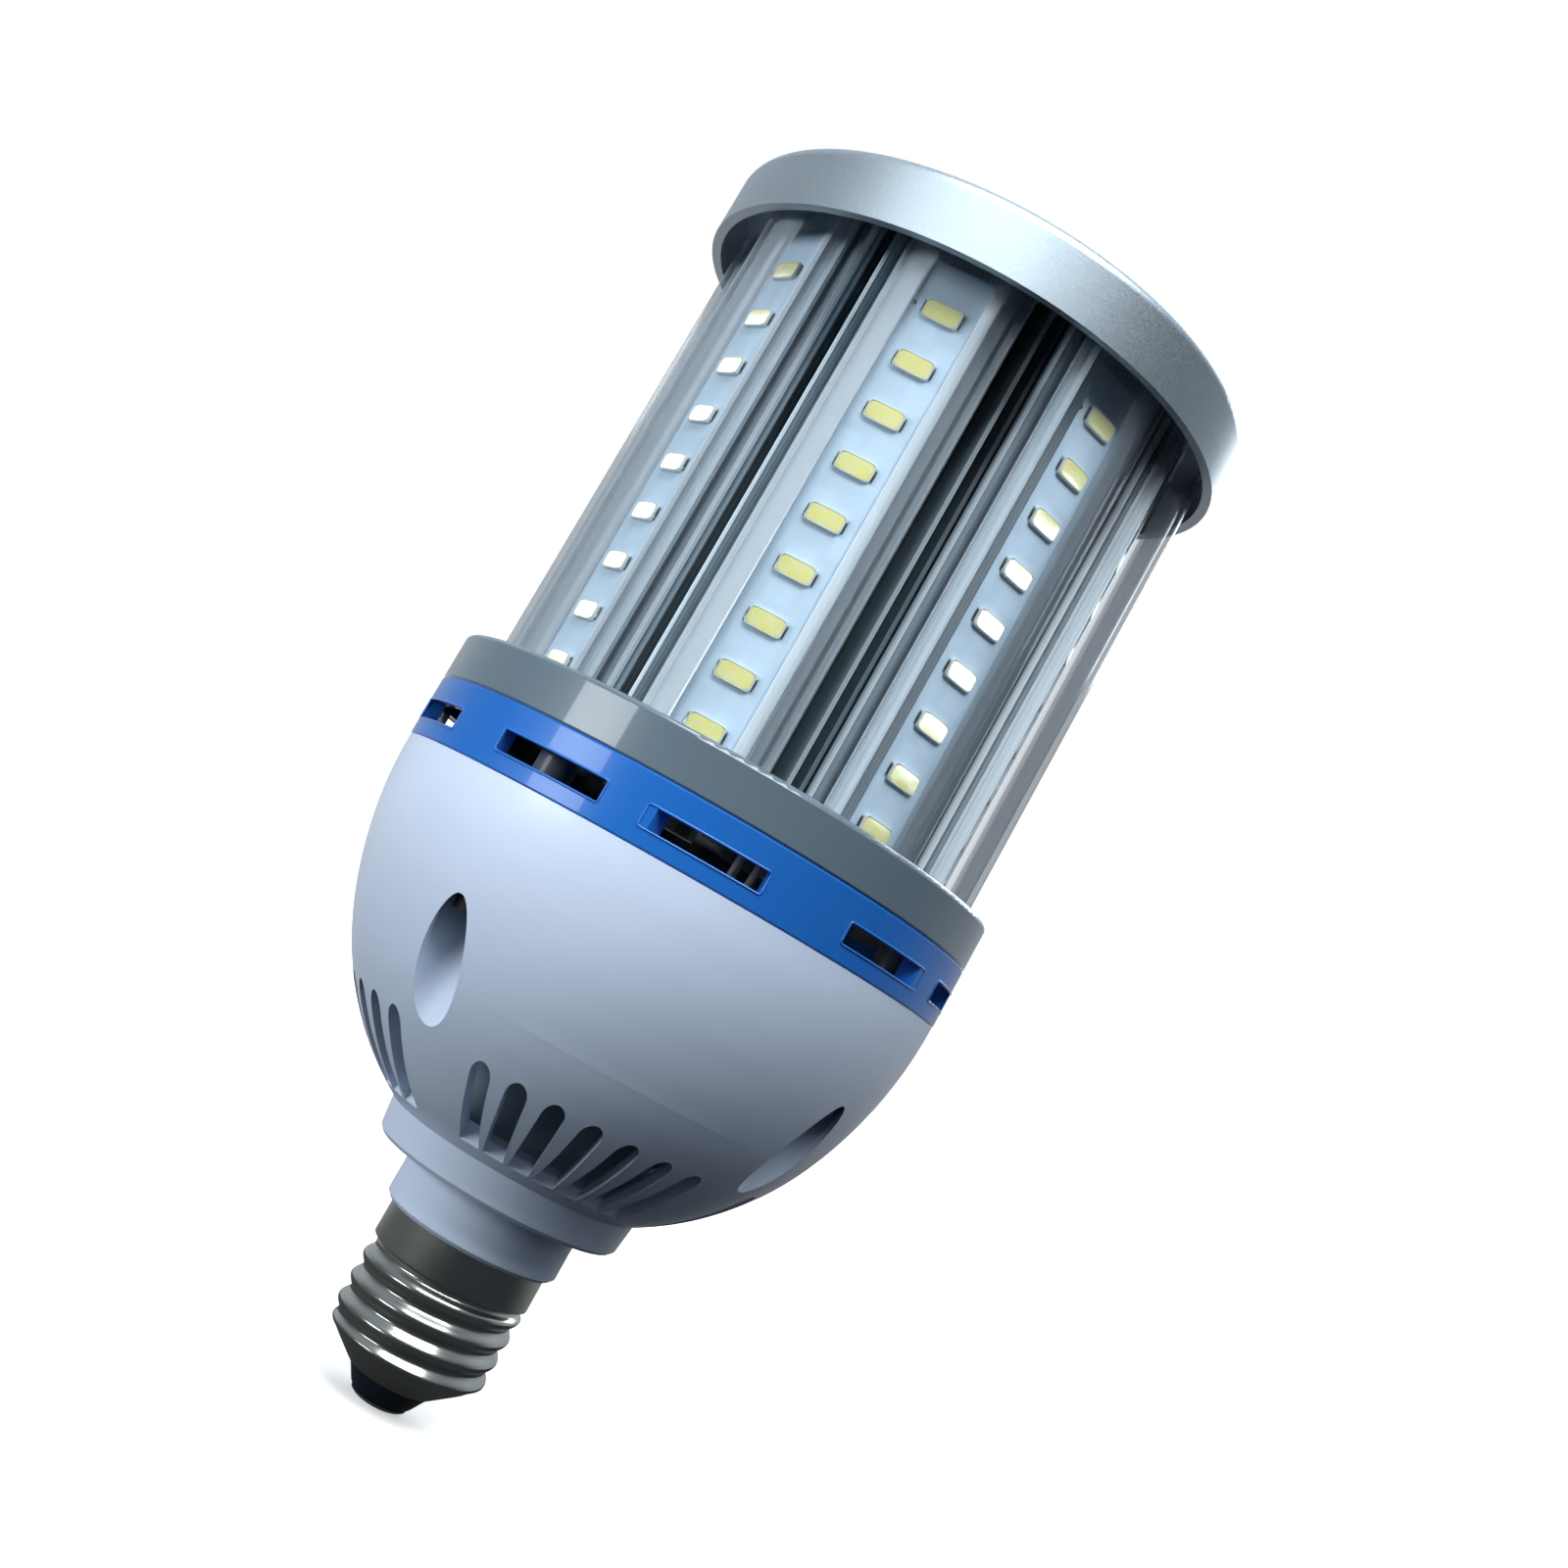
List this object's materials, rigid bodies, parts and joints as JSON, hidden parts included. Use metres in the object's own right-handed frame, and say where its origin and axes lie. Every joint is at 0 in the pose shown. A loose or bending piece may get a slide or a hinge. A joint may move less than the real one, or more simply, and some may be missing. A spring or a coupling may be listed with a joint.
{
  "type": "corn led bulb",
  "caption": "Corn-shaped LED lamp: lengthwise light strips under clear covers on a finned aluminium extrusion, with a vented driver housing and an E27 screw cap.",
  "frame": {"origin": "lowest point of the centre contact, on the lamp's axis", "axes": "+Z from the screw cap towards the top cap, -Y through the middle of the first light strip"},
  "size_m": [0.093, 0.093, 0.1962],
  "materials": {
    "aluminium": "extruded, satin",
    "cap_metal": "satin, fine sparkle",
    "grey_plastic": "satin",
    "blue_plastic": "semi-gloss",
    "white_plastic": "semi-gloss",
    "nickel": "polished, plated",
    "insulator": "gloss",
    "strip_board": "white solder mask",
    "package": "white moulding",
    "phosphor": "glossy gel",
    "clear_cover": "clear",
    "screw_steel": "zinc plated",
    "driver_board": "green solder mask",
    "ferrite": "matt",
    "tape": "taped winding",
    "can_sleeve": "shrink sleeve",
    "film_case": "moulded case",
    "black_moulding": "moulded",
    "copper_winding": "enamelled copper",
    "wire_sleeve": "insulated wire",
    "resistor_body": "lacquered"
  },
  "bodies": {
    "root": {"bridge_rectifier": "black_moulding", "bulk_capacitor": "can_sleeve", "cap_screws": "screw_steel", "centre_contact": "nickel", "choke": "copper_winding", "collar_ring": "grey_plastic", "contact_insulator": "insulator", "contact_lead": "wire_sleeve", "driver_board": "driver_board", "driver_housing": "white_plastic", "film_capacitor": "film_case", "fuse_resistor": "resistor_body", "heat_sink": "aluminium", "housing_screws": "screw_steel", "led_board_1": "strip_board", "led_board_2": "strip_board", "led_board_3": "strip_board", "led_board_4": "strip_board", "led_board_5": "strip_board", "led_board_6": "strip_board", "led_board_7": "strip_board", "led_board_8": "strip_board", "led_gel_1": "phosphor", "led_gel_2": "phosphor", "led_gel_3": "phosphor", "led_gel_4": "phosphor", "led_gel_5": "phosphor", "led_gel_6": "phosphor", "led_gel_7": "phosphor", "led_gel_8": "phosphor", "led_packages_1": "package", "led_packages_2": "package", "led_packages_3": "package", "led_packages_4": "package", "led_packages_5": "package", "led_packages_6": "package", "led_packages_7": "package", "led_packages_8": "package", "output_capacitors": "can_sleeve", "power_switch": "black_moulding", "screw_shell": "nickel", "shell_lead": "wire_sleeve", "sink_screws": "screw_steel", "strip_cover_1": "clear_cover", "strip_cover_2": "clear_cover", "strip_cover_3": "clear_cover", "strip_cover_4": "clear_cover", "strip_cover_5": "clear_cover", "strip_cover_6": "clear_cover", "strip_cover_7": "clear_cover", "strip_cover_8": "clear_cover", "strip_links": "wire_sleeve", "supply_leads": "wire_sleeve", "top_cap": "cap_metal", "transformer_coil": "tape", "transformer_core": "ferrite", "vent_guard": "black_moulding", "vent_ring": "blue_plastic"}
  },
  "joints": []
}
